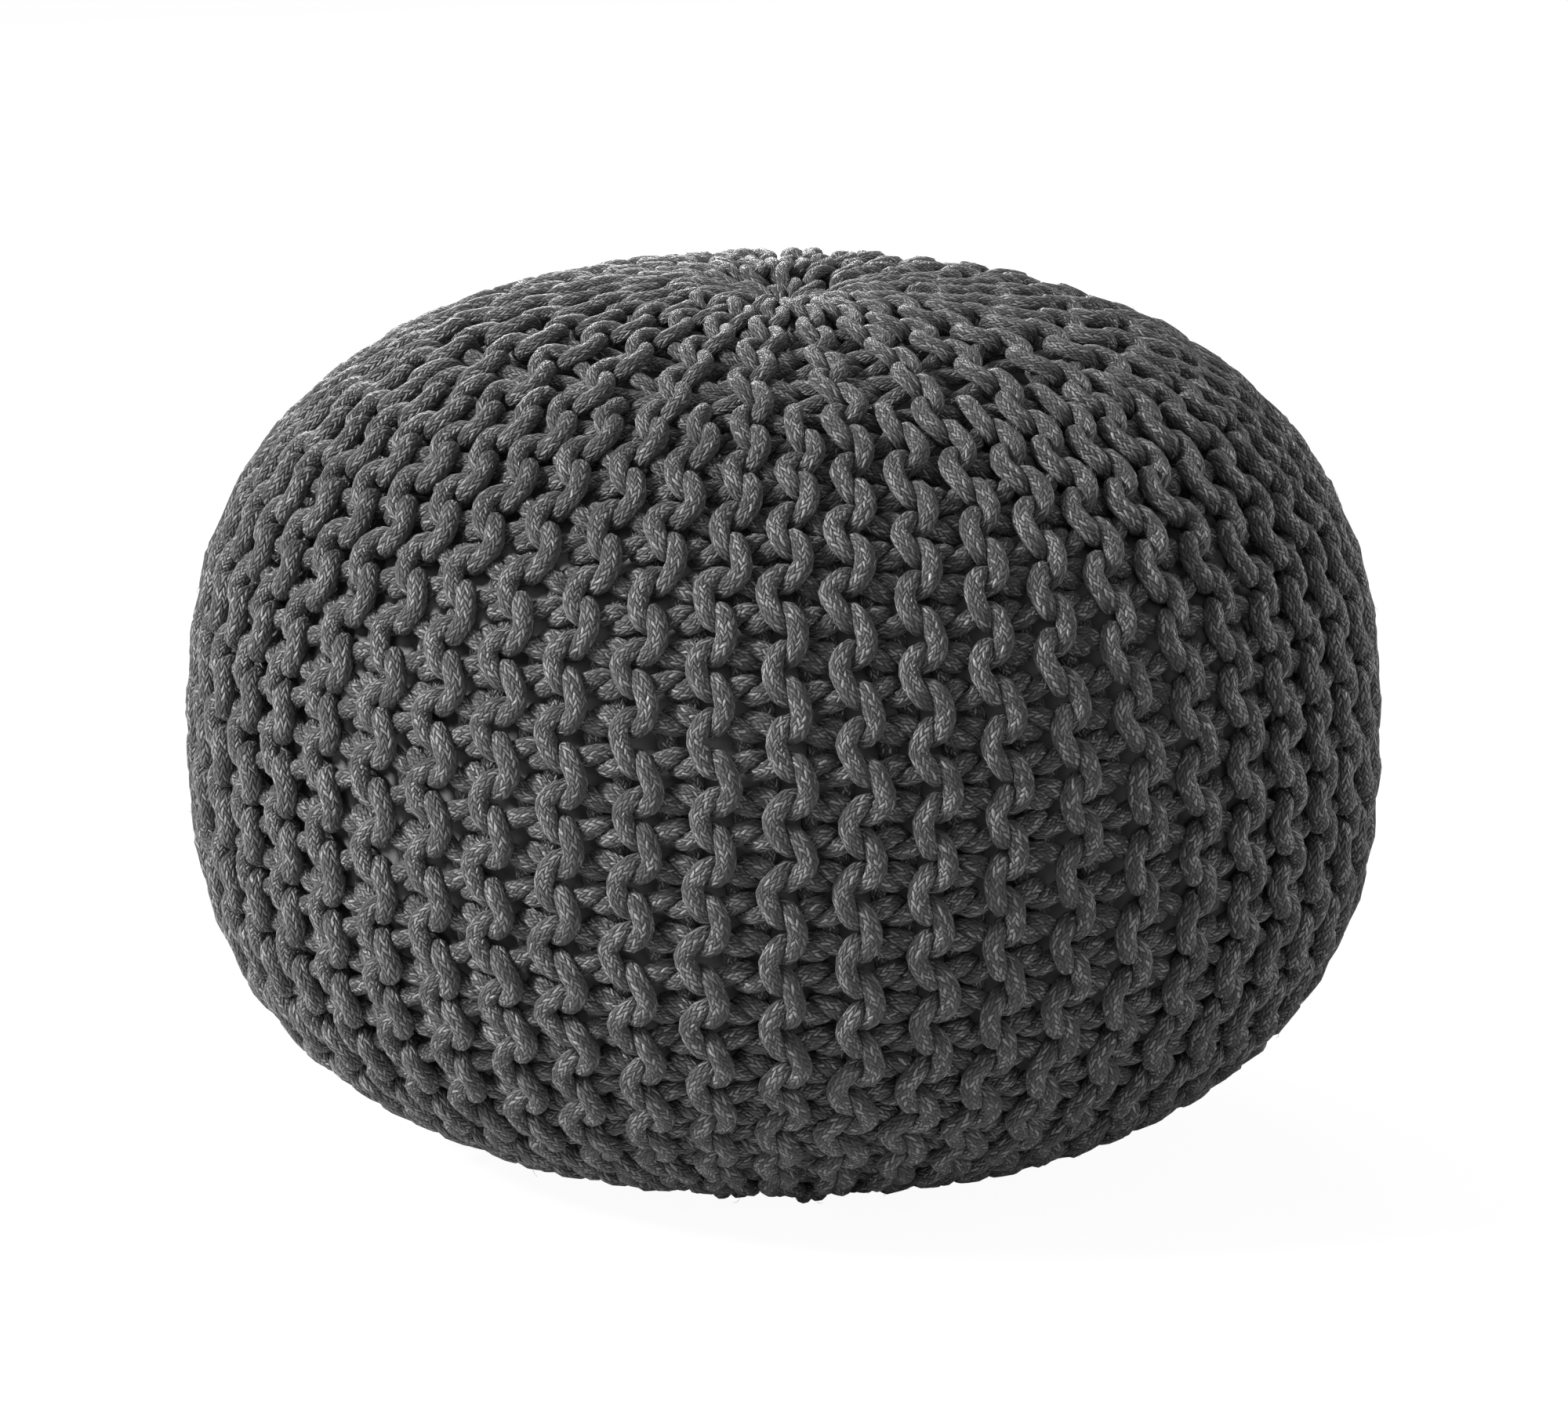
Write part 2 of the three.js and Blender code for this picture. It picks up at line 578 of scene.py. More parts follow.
    def placed(self, stretch: Stretch) -> Array:
        """Places the nodes of a stretch in space.

        Args:
            stretch: The stretch.

        Returns:
            The nodes, one row each.
        """
        limit = self.POLE_LIMIT * self.pitch
        arc = np.clip(stretch.arc, limit, self.middle.length - limit)
        radius = np.maximum(self.middle.radius_at(arc), self.LEAST_RADIUS)
        return self.middle.place(arc, stretch.azimuth + stretch.across / radius, stretch.out)


# --- Settling the cord ---


def fine_line(points: Array, parts: int) -> Array:
    """Draws a smooth line through points (Catmull-Rom).

    Args:
        points: The points.
        parts: Number of parts into which each step is cut.

    Returns:
        The line's points, the given ones among them.
    """
    padded = np.concatenate([2 * points[:1] - points[1:2], points, 2 * points[-1:] - points[-2:-1]])
    before, start, end, after = (padded[i : len(padded) - 3 + i, None] for i in range(4))
    share = np.linspace(0, 1, parts, endpoint=False)[None, :, None]
    line = 2 * start + (end - before) * share
    line = line + (2 * before - 5 * start + 4 * end - after) * share**2
    line = line + (3 * start - before - 3 * end + after) * share**3
    return np.concatenate([(line / 2).reshape(-1, 3), points[-1:]])


def near_pairs(seekers: Array, others: Array, reach: float) -> Arrays:
    """Pairs of points from two sets that lie within reach of one another, found cell by cell.

    Args:
        seekers: Points that look for neighbours.
        others: Points that may be neighbours.
        reach: Largest distance of a pair.

    Returns:
        Index of the seeker and index of the neighbour of each pair.
    """
    origin = np.minimum(seekers.min(axis=0), others.min(axis=0)) - reach
    seeker_cells = np.floor((seekers - origin) / reach).astype(np.int64)
    other_cells = np.floor((others - origin) / reach).astype(np.int64)
    width = np.maximum(seeker_cells.max(axis=0), other_cells.max(axis=0)) + 3

    def key(cells: Array) -> Array:
        """One number for each cell."""
        return (cells[:, 0] * width[1] + cells[:, 1]) * width[2] + cells[:, 2]

    other_keys = key(other_cells)
    order = np.argsort(other_keys, kind="stable")
    sorted_keys = other_keys[order]
    found = []
    for step in np.ndindex(3, 3):
        row = key(seeker_cells + np.array([step[0] - 1, step[1] - 1, 0]))
        first = np.searchsorted(sorted_keys, row - 1, "left")
        past = np.searchsorted(sorted_keys, row + 1, "right")
        count = past - first
        seeker = np.repeat(np.arange(len(seekers)), count)
        offset = np.arange(count.sum()) - np.repeat(np.cumsum(count) - count, count)
        other = order[np.repeat(first, count) + offset]
        gap = seekers[seeker] - others[other]
        near = np.einsum("ij,ij->i", gap, gap) < reach * reach
        found.append((seeker[near], other[near]))
    return tuple(np.concatenate(part) for part in zip(*found))


@dataclass(frozen=True)
class Settler:
    """Settles the laid cord: it keeps its length, bends evenly, rests on the liner and clears itself.

    Args:
        form: The body.
        plan: The knitting plan.
        spacing: Distance between nodes.
        steps: Number of settling steps.
        clearance: How near two middle lines may come, less than the cord's diameter as cotton gives way.
        bending: Share of each kink taken out in a step.
        hold: Share of the way back to the plan in a step.
        firmness: Share of an overlap pushed apart each time.
        pushes: How many times in a step.
    """

    form: PoufForm
    plan: GarterPlan
    spacing: float = 3.9 * MM
    steps: int = 120
    clearance: float = 5.2 * MM
    bending: float = 0.2
    hold: float = 0.06
    firmness: float = 0.8
    pushes: int = 4

    SHUTTING = (0.2, 0.7)  # share of the steps at which the stitches start and stop being drawn shut
    GROWN = 0.6  # share of the steps by which the clearance has grown from half to the whole
    PAIRS_KEPT = 10  # steps for which one search for pairs holds
    SEARCH = 1.45  # clearances

    def settle(self, laid: Array, closed: Array) -> Array:
        """Settles a laid path while its stitches are drawn shut.

        Args:
            laid: Evenly spaced nodes as laid.
            closed: Where the same nodes are once the stitches are shut.

        Returns:
            The nodes at rest.
        """
        points = laid.copy()
        liner = self.liner_table()
        pair = None
        for step in range(self.steps):
            shut = float(smoothstep(*self.SHUTTING, np.array(step / self.steps)))
            home = laid + shut * (closed - laid)
            rest = np.linalg.norm(np.diff(home, axis=0), axis=1)
            if step % self.PAIRS_KEPT == 0:
                pair = self.pairs(points)
            points[1:-1] += self.bending * ((points[:-2] + points[2:]) / 2 - points[1:-1])
            for _ in range(2):
                self.keep_length(points, rest)
            clearance = self.clearance * (0.5 + 0.5 * min(1.0, step / (self.GROWN * self.steps)))
            for _ in range(self.pushes):
                self.push_apart(points, pair, clearance)
            points += self.hold * (home - points)
            self.keep_outside(points, liner)
        return points

    def pairs(self, points: Array) -> Arrays:
        """Finds the nodes that may touch, leaving out near neighbours along the cord.

        Args:
            points: The nodes.

        Returns:
            First and second node of each pair, each pair once.
        """
        reach = self.SEARCH * self.clearance
        first, second = near_pairs(points, points, reach)
        apart = second - first > int(reach / self.spacing) + 1
        return first[apart], second[apart]

    @staticmethod
    def keep_length(points: Array, rest: Array) -> None:
        """Brings each step of the path back to its own length.

        Args:
            points: The nodes, moved in place.
            rest: Each step's own length.
        """
        for start in (0, 1):
            first = slice(start, len(points) - 1, 2)
            second = slice(start + 1, len(points), 2)
            gap = points[second] - points[first]
            length = np.linalg.norm(gap, axis=1)
            move = gap * ((length - rest[first]) / length / 2)[:, None]
            points[first] += move
            points[second] -= move

    def push_apart(self, points: Array, pair: Arrays, clearance: float) -> None:
        """Pushes apart the nodes that come too near one another.

        Args:
            points: The nodes, moved in place.
            pair: First and second node of each pair.
            clearance: How near they may come.
        """
        first, second = pair
        gap = points[first] - points[second]
        distance = np.sqrt(np.einsum("ij,ij->i", gap, gap)) + 1e-12
        close = distance < clearance
        first, second, gap, distance = first[close], second[close], gap[close], distance[close]
        push = gap * (self.firmness * (clearance - distance) / distance / 2)[:, None]
        count = len(points)
        touches = np.bincount(first, minlength=count) + np.bincount(second, minlength=count)
        share = 1 / np.maximum(1, touches / 2)
        for axis in range(3):
            away = np.bincount(first, push[:, axis], count) - np.bincount(second, push[:, axis], count)
            points[:, axis] += away * share

    def liner_table(self) -> Arrays:
        """Measures how far the liner reaches, seen from the middle of the body.

        Returns:
            Rising elevations, and the liner's distance at each.
        """
        outline = self.form.outline(self.plan.thickness, self.plan.top_drop)
        height = outline.height - self.form.widest
        elevation = np.arctan2(height, outline.radius)
        order = np.argsort(elevation)
        return elevation[order], np.hypot(outline.radius, height)[order]

    def keep_outside(self, points: Array, liner: Arrays) -> None:
        """Keeps the cord outside the liner and above the ground.

        Args:
            points: The nodes, moved in place.
            liner: Elevations, and the liner's distance at each.
        """
        radius = np.hypot(points[:, 0], points[:, 1])
        height = points[:, 2] - self.form.widest
        distance = np.hypot(radius, height)
        least = np.interp(np.arctan2(height, radius), *liner) + self.plan.cord / 2
        share = np.maximum(1, least / distance)
        points[:, :2] *= share[:, None]
        points[:, 2] = self.form.widest + height * share
        np.maximum(points[:, 2], self.plan.cord / 2, out=points[:, 2])


# --- Meshes ---


def tube_corners(rings: int, sides: int) -> Arrays:
    """Ring and side, not yet wrapped round, of each corner of a closed tube's faces."""
    ring, side = np.meshgrid(np.arange(rings - 1), np.arange(sides), indexing="ij")
    return np.stack([ring, ring, ring + 1, ring + 1], -1), np.stack([side, side + 1, side + 1, side], -1)


def round_steps(sides: int) -> Array:
    """Angle of each side of a ring."""
    return np.arange(sides) * 2 * math.pi / sides


@dataclass
class MeshData:
    """A mesh as plain arrays.

    Args:
        vertices: Points, one row each.
        faces: Vertex indices of each face, in one array for each number of sides.
        maps: UV maps by name, one row for each face corner.
    """

    vertices: Array
    faces: list[Array]
    maps: dict[str, Array]

    def build(self, name: str) -> bpy.types.Object:
        """Makes the object.

        Args:
            name: Name of the object and its mesh.

        Returns:
            The object, in the scene.
        """
        sizes = np.concatenate([np.full(len(group), group.shape[1]) for group in self.faces])
        corners = np.concatenate([group.ravel() for group in self.faces])
        mesh = bpy.data.meshes.new(name)
        mesh.vertices.add(len(self.vertices))
        mesh.vertices.foreach_set("co", self.vertices.astype(np.float32).ravel())
        mesh.loops.add(len(corners))
        mesh.loops.foreach_set("vertex_index", corners.astype(np.int32))
        mesh.polygons.add(len(sizes))
        mesh.polygons.foreach_set("loop_start", (np.cumsum(sizes) - sizes).astype(np.int32))
        mesh.polygons.foreach_set("loop_total", sizes.astype(np.int32))
        mesh.polygons.foreach_set("use_smooth", np.ones(len(sizes), dtype=bool))
        mesh.update()
        for map_name, corner_uv in self.maps.items():
            layer = mesh.uv_layers.new(name=map_name)
            layer.data.foreach_set("uv", corner_uv.astype(np.float32).ravel())
        mesh.validate()
        piece = bpy.data.objects.new(name, mesh)
        bpy.context.scene.collection.objects.link(piece)
        return piece


@dataclass(frozen=True)
class CordSweep:
    """Sweeps the round cord along its settled path, pressed flat where it meets itself.

    Args:
        diameter: Diameter of the cord.
        sides: Sides of a ring.
        rings: Rings on the whole cord.
        bend_cost: How much a bend counts against length when rings are shared out.
        lump: Spacing of the places where the cord's thickness is drawn.
        lumps: How far the thickness varies, as a share.
        thinning: How much thinner the cord is drawn at the poles, as a share.
        thinned: Distances from the axis at which it is thinnest and no longer thinned.
    """

    diameter: float
    sides: int = 10
    rings: int = 46500
    bend_cost: float = 6 * MM
    lump: float = 7 * MM
    lumps: float = 0.03
    thinning: float = 0.30
    thinned: tuple[float, float] = (40 * MM, 225 * MM)

    NEAR = 1.08  # diameters within which another turn presses
    OWN = 1.9  # diameters along the cord that count as the same turn
    HALFWAY = 0.49  # where a contact is pressed flat, just short of halfway
    MAP_X = (0.004, 0.975)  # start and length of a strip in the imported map
    MAP_Y = (0.06, 0.88)  # start and width of a strip, in strips
    CAP_MAP = (0.0015, 0.991, (0.25, 0.75))  # radius, x and two heights of the end caps there

    def line(self, points: Array) -> Array:
        """A fine smooth line through the settled nodes."""
        return smoothed(fine_line(points, 5), 5)

    def shares(self, line: Array) -> Array:
        """Shares the rings out along a fine line, more of them where it bends.

        Args:
            line: The fine line.

        Returns:
            Running share at each of its points, from 0 to 1.
        """
        steps = np.diff(line, axis=0)
        length = np.linalg.norm(steps, axis=1)
        heading = steps / length[:, None]
        cosine = np.einsum("ij,ij->i", heading[1:], heading[:-1])
        bend = np.concatenate([[0], np.arccos(np.clip(cosine, -1, 1))])
        running = np.cumsum(length + self.bend_cost * bend)
        return np.concatenate([[0], running / running[-1]])

    @staticmethod
    def frames(centres: Array) -> Arrays:
        """Carries two directions across the cord along it, without twist.

        Args:
            centres: Ring centres.

        Returns:
            The two directions at each ring.
        """
        heading = unit(np.gradient(centres, axis=0))
        side = np.cross(heading[0], (0.0, 0.0, 1.0))
        sides = np.empty_like(centres)
        for index, direction in enumerate(heading):
            side = side - direction * side.dot(direction)
            side = side / math.sqrt(side.dot(side))
            sides[index] = side
        return sides, np.cross(heading, sides)

    def radii(self, centres: Array, along: Array, random: np.random.Generator) -> Array:
        """Radius of each ring, a little uneven along the cord and drawn thin at the poles.

        Args:
            centres: Ring centres.
            along: Distance of each ring along the cord.
            random: Source of the lumps.

        Returns:
            The radii.
        """
        from_axis = np.hypot(centres[:, 0], centres[:, 1])
        thin = self.thinning * (1 - smoothstep(*self.thinned, from_axis))
        places = np.arange(0, along[-1] + 2 * self.lump, self.lump)
        swell = smoothed(random.normal(size=len(places)), 3)
        return self.diameter / 2 * (1 - thin) * (1 + self.lumps * np.interp(along, places, swell))

    def ring_vertices(self, centres: Array, radius: Array) -> Array:
        """Sets round rings across the cord.

        Args:
            centres: Ring centres.
            radius: Radius of each ring.

        Returns:
            Vertices, indexed by ring and side.
        """
        side, other = self.frames(centres)
        angle = round_steps(self.sides)
        spokes = np.cos(angle)[None, :, None] * side[:, None] + np.sin(angle)[None, :, None] * other[:, None]
        return centres[:, None] + radius[:, None, None] * spokes

    def press(self, vertices: Array, centres: Array, line: Array, where: Array) -> None:
        """Presses rings flat against neighbouring turns of the cord and the ground.

        Args:
            vertices: Ring vertices, changed in place.
            centres: Ring centres.
            line: The fine line of the whole cord.
            where: Each ring's index on the fine line.
        """
        sparse = line[::2]
        ring, other = near_pairs(centres, sparse, self.NEAR * self.diameter)
        own_reach = int(self.OWN * self.diameter / np.linalg.norm(line[1] - line[0]))
        foreign = np.abs(2 * other - where[ring]) >= own_reach
        ring, other = ring[foreign], other[foreign]
        order = np.argsort(ring, kind="stable")
        ring, other = ring[order], other[order]
        turn = np.arange(len(ring)) - np.searchsorted(ring, ring, "left")
        for round_index in range(int(turn.max()) + 1):
            chosen = turn == round_index
            here, there = ring[chosen], other[chosen]
            gap = sparse[there] - centres[here]
            distance = np.linalg.norm(gap, axis=1)
            normal = (gap / distance[:, None])[:, None, :]
            from_centre = vertices[here] - centres[here][:, None, :]
            depth = (from_centre * normal).sum(axis=2) - self.HALFWAY * distance[:, None]
            vertices[here] -= normal * np.maximum(depth, 0)[:, :, None]
        np.maximum(vertices[:, :, 2], 0, out=vertices[:, :, 2])

    def tube(self, rings: Array, along: Array) -> MeshData:
        """One closed tube over a run of rings.

        Args:
            rings: Ring vertices, indexed by ring and side.
            along: Distance of each ring along the cord.

        Returns:
            The tube, with the map that the braid follows and a packed map for baking.
        """
        count, sides = rings.shape[:2]
        ring, side = tube_corners(count, sides)
        quads = (ring * sides + side % sides).reshape(-1, 4)
        caps = np.stack([np.arange(sides)[::-1], (count - 1) * sides + np.arange(sides)])
        braid = np.stack([along[ring], side / sides], axis=-1).reshape(-1, 2)
        cap_map = np.zeros((2 * sides, 2))
        cap_map[:, 0] = np.repeat([along[0], along[-1]], sides)
        maps = {
            "CordRun": np.concatenate([braid, cap_map]),
            "OFBake": np.concatenate([self.packed_map(along, ring, side / sides), self.packed_caps()]),
        }
        return MeshData(rings.reshape(-1, 3), [quads, caps], maps)

    def packed_map(self, along: Array, ring: Array, round_share: Array) -> Array:
        """Cuts the tube into strips of equal length, laid one above the other in the unit square.

        Args:
            along: Distance of each ring along the cord.
            ring: Ring of each face corner.
            round_share: Each corner's place round the cord, from 0 to 1.

        Returns:
            The corners' places in the square, one row each.
        """
        length = along[-1] - along[0]
        strips = max(1, round(math.sqrt(length / (math.pi * self.diameter))))
        per_strip = math.ceil((len(along) - 1) / strips)
        strip = ring[..., :1] // per_strip
        first = np.arange(strips) * per_strip
        last = np.minimum(first + per_strip, len(along) - 1)
        longest = (along[last] - along[first]).max()
        x = self.MAP_X[0] + self.MAP_X[1] * (along[ring] - along[strip * per_strip]) / longest
        y = (strip + self.MAP_Y[0] + self.MAP_Y[1] * round_share) / strips
        return np.stack([x, y * 0.99 + 0.005], axis=-1).reshape(-1, 2)

    def packed_caps(self) -> Array:
        """Lays the two end caps, which never show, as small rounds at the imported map's edge.

        Returns:
            The caps' corners, one row each.
        """
        radius, x, heights = self.CAP_MAP
        angle = round_steps(self.sides)
        small = radius * np.stack([np.cos(angle), np.sin(angle)], axis=1)
        return np.concatenate([small[::-1] + (x, heights[0]), small + (x, heights[1])])


# --- Finishes ---

Number = Union[float, "Value"]
Colour = tuple[float, float, float]
Socket = bpy.types.NodeSocket
Triple = Union[Colour, Socket]  # a colour or vector, plain or from a node


class Surface:
    """A material under construction: its node tree and the one method that adds nodes to it."""

    def __init__(self, name: str) -> None:
        """Makes an empty material.

        Args:
            name: Name of the material.
        """
        self.material = bpy.data.materials.new(name)
        self.material.use_nodes = True
        self.tree = self.material.node_tree
        self.tree.nodes.clear()

    def node(
        self,
        kind: str,
        settings: Optional[dict[str, object]] = None,
        sockets: Optional[dict[Union[str, int], object]] = None,
    ) -> bpy.types.Node:
        """Adds a node.

        Args:
            kind: The node's type, without the ShaderNode that starts it.
            settings: Its properties, set first.
            sockets: Its inputs by name or number, each a plain value, a socket or a Value.

        Returns:
            The node.
        """
        node = self.tree.nodes.new("ShaderNode" + kind)
        for name, setting in (settings or {}).items():
            setattr(node, name, setting)
        for name, given in (sockets or {}).items():
            target = node.inputs[name]
            if isinstance(given, Value):
                given = given.socket
            if isinstance(given, Socket):
                self.tree.links.new(given, target)
            else:
                target.default_value = given
        return node

    def value(self, socket: Socket) -> "Value":
        """Wraps a socket for shader maths."""
        return Value(self, socket)

    def vector_math(self, operation: str, first: Triple, second: Triple) -> Socket:
        """The result of a Vector Math node on two vectors."""
        return self.node("VectorMath", {"operation": operation}, {0: first, 1: second}).outputs[0]

    def scaled(self, colour: Triple, scale: "Value") -> Socket:
        """A colour times a number."""
        return self.node("VectorMath", {"operation": "SCALE"}, {0: colour, "Scale": scale}).outputs[0]

    def noise(self, place: Socket, scale: float, detail: float = 2.0) -> bpy.types.Node:
        """Smooth noise over a place, from 0 to 1."""
        return self.node("TexNoise", sockets={"Vector": place, "Scale": scale, "Detail": detail})

    def bump(self, height: "Value", distance: float, strength: float) -> Socket:
        """The normal of a bump."""
        sockets = {"Strength": strength, "Distance": distance, "Height": height}
        return self.node("Bump", sockets=sockets).outputs["Normal"]

    def blend(self, share: "Value", first: Triple, second: Triple) -> Socket:
        """A colour between two, by the share of the second."""
        ends = [(*end, 1.0) if isinstance(end, tuple) else end for end in (first, second)]
        return self.node("Mix", {"data_type": "RGBA"}, {0: share, 6: ends[0], 7: ends[1]}).outputs[2]

    def finish(self, shader: Socket) -> bpy.types.Material:
        """Sends a shader to the material's output, and gives the finished material."""
        self.node("OutputMaterial", sockets={"Surface": shader})
        return self.material


class Value:
    """A number that varies over a surface. Expressions on values add Math nodes to the material."""

    def __init__(self, surface: Surface, socket: Socket) -> None:
        """Wraps an output of a node of the material."""
        self.surface = surface
        self.socket = socket

    def math(self, operation: str, *others: Number) -> "Value":
        """The result of a Math node whose first input is this value."""
        return combine(self.surface, operation, self, *others)

    def __add__(self, other: Number) -> "Value":
        """self + other."""
        return self.math("ADD", other)

    __radd__ = __add__

    def __sub__(self, other: Number) -> "Value":
        """self - other."""
        return self.math("SUBTRACT", other)

    def __rsub__(self, other: Number) -> "Value":
        """other - self."""
        return combine(self.surface, "SUBTRACT", other, self)

    def __mul__(self, other: Number) -> "Value":
        """self * other."""
        return self.math("MULTIPLY", other)

    __rmul__ = __mul__

    def __pow__(self, other: Number) -> "Value":
        """self to a power."""
        return self.math("POWER", other)

    def floor(self) -> "Value":
        """The whole number below."""
        return self.math("FLOOR")

    def fraction(self) -> "Value":
        """The part past the whole number below."""
        return self.math("FRACT")

    def hump(self) -> "Value":
        """0 at each whole number and 1 halfway between two."""
        return (self * math.pi).math("SINE").math("ABSOLUTE")

    def between(self, low: float, high: float) -> "Value":
        """A smooth rise from 0 at low to 1 at high.

        Args:
            low: Where it starts.
            high: Where it ends.

        Returns:
            The risen value.
        """
        kind = {"interpolation_type": "SMOOTHSTEP"}
        limits = {"Value": self, "From Min": low, "From Max": high}
        return self.surface.value(self.surface.node("MapRange", kind, limits).outputs["Result"])

    def mixed(self, at_zero: Number, at_one: Number) -> "Value":
        """at_zero where this value is 0 and at_one where it is 1."""
        return (1 - self) * at_zero + self * at_one


def combine(surface: Surface, operation: str, *numbers: Number) -> Value:
    """The result of a Math node on one number or more."""
    node = surface.node("Math", {"operation": operation}, dict(enumerate(numbers)))
    return surface.value(node.outputs[0])


@dataclass(frozen=True)
class BraidedCotton:
    """The cord's finish: a braid of dull charcoal cotton yarns with paler rubbed fibres, partly painted
    highlight, and painted shade between the yarns.

    Args:
        colour: Colour of the yarns.
        deep: Colour between the yarns: painted shade in the gaps where they dive under one another.
        fleck_and_highlight: Colour of the palest fibres, rubbed pale by wear and partly a painted highlight.
        yarns: Yarns round the cord in each of the two directions, an even number.
        lay: Length along the cord over which a yarn moves by one place.
        relief: Height of the braid.
        fibre_relief: Height of its fibres, as a share of that.
        wander: How far the yarns stray from their places.
        roughness: Roughness of the yarns.
        gloss: Roughness of the rubbed fibres, which shine a little.
        dulling: How much rougher the dusty stretches are.
        specular: Level of the shine.
        sheen: Weight of the soft sheen of loose fibres.
        sheen_roughness: Roughness of that sheen.
        sheen_colour: Its colour.
    """

    colour: Colour = (0.066, 0.066, 0.066)
    deep: Colour = (0.006, 0.006, 0.006)
    fleck_and_highlight: Colour = (0.48, 0.48, 0.48)
    yarns: int = 16
    lay: float = 2.9 * MM
    relief: float = 0.75 * MM
    fibre_relief: float = 0.22
    wander: float = 0.4 * MM
    roughness: float = 0.54
    gloss: float = 0.26
    dulling: float = 0.08
    specular: float = 0.9
    sheen: float = 0.22
    sheen_roughness: float = 0.45
    sheen_colour: Colour = (0.80, 0.80, 0.80)

    DIVE = 0.45  # power that makes a yarn dive steeply under the next
    LOWEST = 0.35  # share of the relief left where it has dived
    ROUNDING = 0.6  # power that broadens a yarn's crown
    WEAR_AND_HIGHLIGHT_DRAWS = (0.35, 1.0)  # random numbers between which a stretch of yarn goes from plain to rubbed pale
    WEAR_AND_HIGHLIGHT_CROWNS = (0.3, 0.75)  # heights of the crown between which it does, pale on the crowns: partly a painted highlight
    WEAR_AND_HIGHLIGHT_GAPS = 0.2  # wear and highlight left between the fibres
    SHOWN_CROWNS = (0.35, 0.9)  # heights of the crown between which the deep colour, painted shade in the gaps, gives way to the yarn's
    TONES = (0.64, 0.6, 0.25)  # a yarn's least tone, what its random number adds and what its fibres add
    STRAYS = 260.0  # strays in a metre
    FIBRES = (5.0, 1.3, 7.31)  # across and along a stretch of yarn, and the step from stretch to stretch
    FIBRE_EDGES = (0.32, 0.72)  # noise between which a fibre rises
    DUST = (70.0, 2.0, 1.0)  # dusty stretches in a metre of cord, and round it
    DUST_EDGES = (0.3, 0.7)

    def material(self) -> bpy.types.Material:
        """Builds the material.

        Returns:
            The material, which follows the cord by its CordRun map.
        """
        surface = Surface("braided_cotton")
        run = surface.node("UVMap", {"uv_map": "CordRun"}).outputs["UV"]
        split = surface.node("SeparateXYZ", sockets={0: self.strayed(surface, run)})
        along = surface.value(split.outputs["X"])
        around = surface.value(split.outputs["Y"])
        right = around * self.yarns + along * (1 / self.lay)
        left = around * self.yarns - along * (1 / self.lay)
        cell = right.floor() + left.floor()
        quarter = (cell * 0.25).fraction() * 4
        over_left = quarter.math("GREATER_THAN", 1.5)
        across = over_left.mixed(right.fraction(), left.fraction())
        passed = over_left.mixed(left.fraction(), right.fraction())
        half = (cell * 0.5).fraction().math("GREATER_THAN", 0.25)
        length = (passed + half) * 0.5
        yarn = across.hump()
        dive = length.hump() ** self.DIVE
        fibres = self.fibres(surface, across, length, cell)
        height = yarn * (self.LOWEST + (1 - self.LOWEST) * dive) + self.fibre_relief * fibres
        draw = self.draw(surface, right.floor(), left.floor(), over_left)
        crown = yarn**self.ROUNDING * dive
        # Pale flecks on the yarns' crowns, partly real wear and partly painted highlight; they also make
        # those stretches glossier.
        wear_and_highlight = draw.between(*self.WEAR_AND_HIGHLIGHT_DRAWS) * crown.between(*self.WEAR_AND_HIGHLIGHT_CROWNS)
        wear_and_highlight = wear_and_highlight * (self.WEAR_AND_HIGHLIGHT_GAPS + (1 - self.WEAR_AND_HIGHLIGHT_GAPS) * fibres)
        looks = {
            "Base Color": self.colours(surface, crown, fibres, draw, wear_and_highlight),
            "Roughness": wear_and_highlight.mixed(self.roughness, self.gloss) + self.dulling * self.dust(surface, run),
            "Specular IOR Level": self.specular,
            "Sheen Weight": self.sheen,
            "Sheen Roughness": self.sheen_roughness,
            "Sheen Tint": (*self.sheen_colour, 1),
            "Normal": surface.bump(height, self.relief, 1.0),
        }
        return surface.finish(surface.node("BsdfPrincipled", sockets=looks).outputs["BSDF"])

    def strayed(self, surface: Surface, run: Socket) -> Socket:
        """Shifts the place along and round the cord a little, so that the yarns lie unevenly.

        Args:
            surface: The material.
            run: The place along and round the cord.

        Returns:
            The shifted place.
        """
        noise = surface.noise(surface.node("TexCoord").outputs["Object"], self.STRAYS, 1.0)
        even = surface.vector_math("SUBTRACT", noise.outputs["Color"], (0.5, 0.5, 0.5))
        reach = (4 * self.wander, 0.16 * self.wander / MM, 0.0)
        return surface.vector_math("ADD", run, surface.vector_math("MULTIPLY", even, reach))

    def fibres(self, surface: Surface, across: Value, length: Value, cell: Value) -> Value:
        """Fine fibres along each yarn.

        Args:
            surface: The material.
            across: Place across the yarn.
            length: Place along the stretch of it that shows.
            cell: Number that differs between stretches.

        Returns:
            0 between the fibres and 1 on them.
        """
        places = {index: value * self.FIBRES[index] for index, value in enumerate((across, length, cell))}
        noise = surface.noise(surface.node("CombineXYZ", sockets=places).outputs[0], 1.0)
        return surface.value(noise.outputs[0]).between(*self.FIBRE_EDGES)

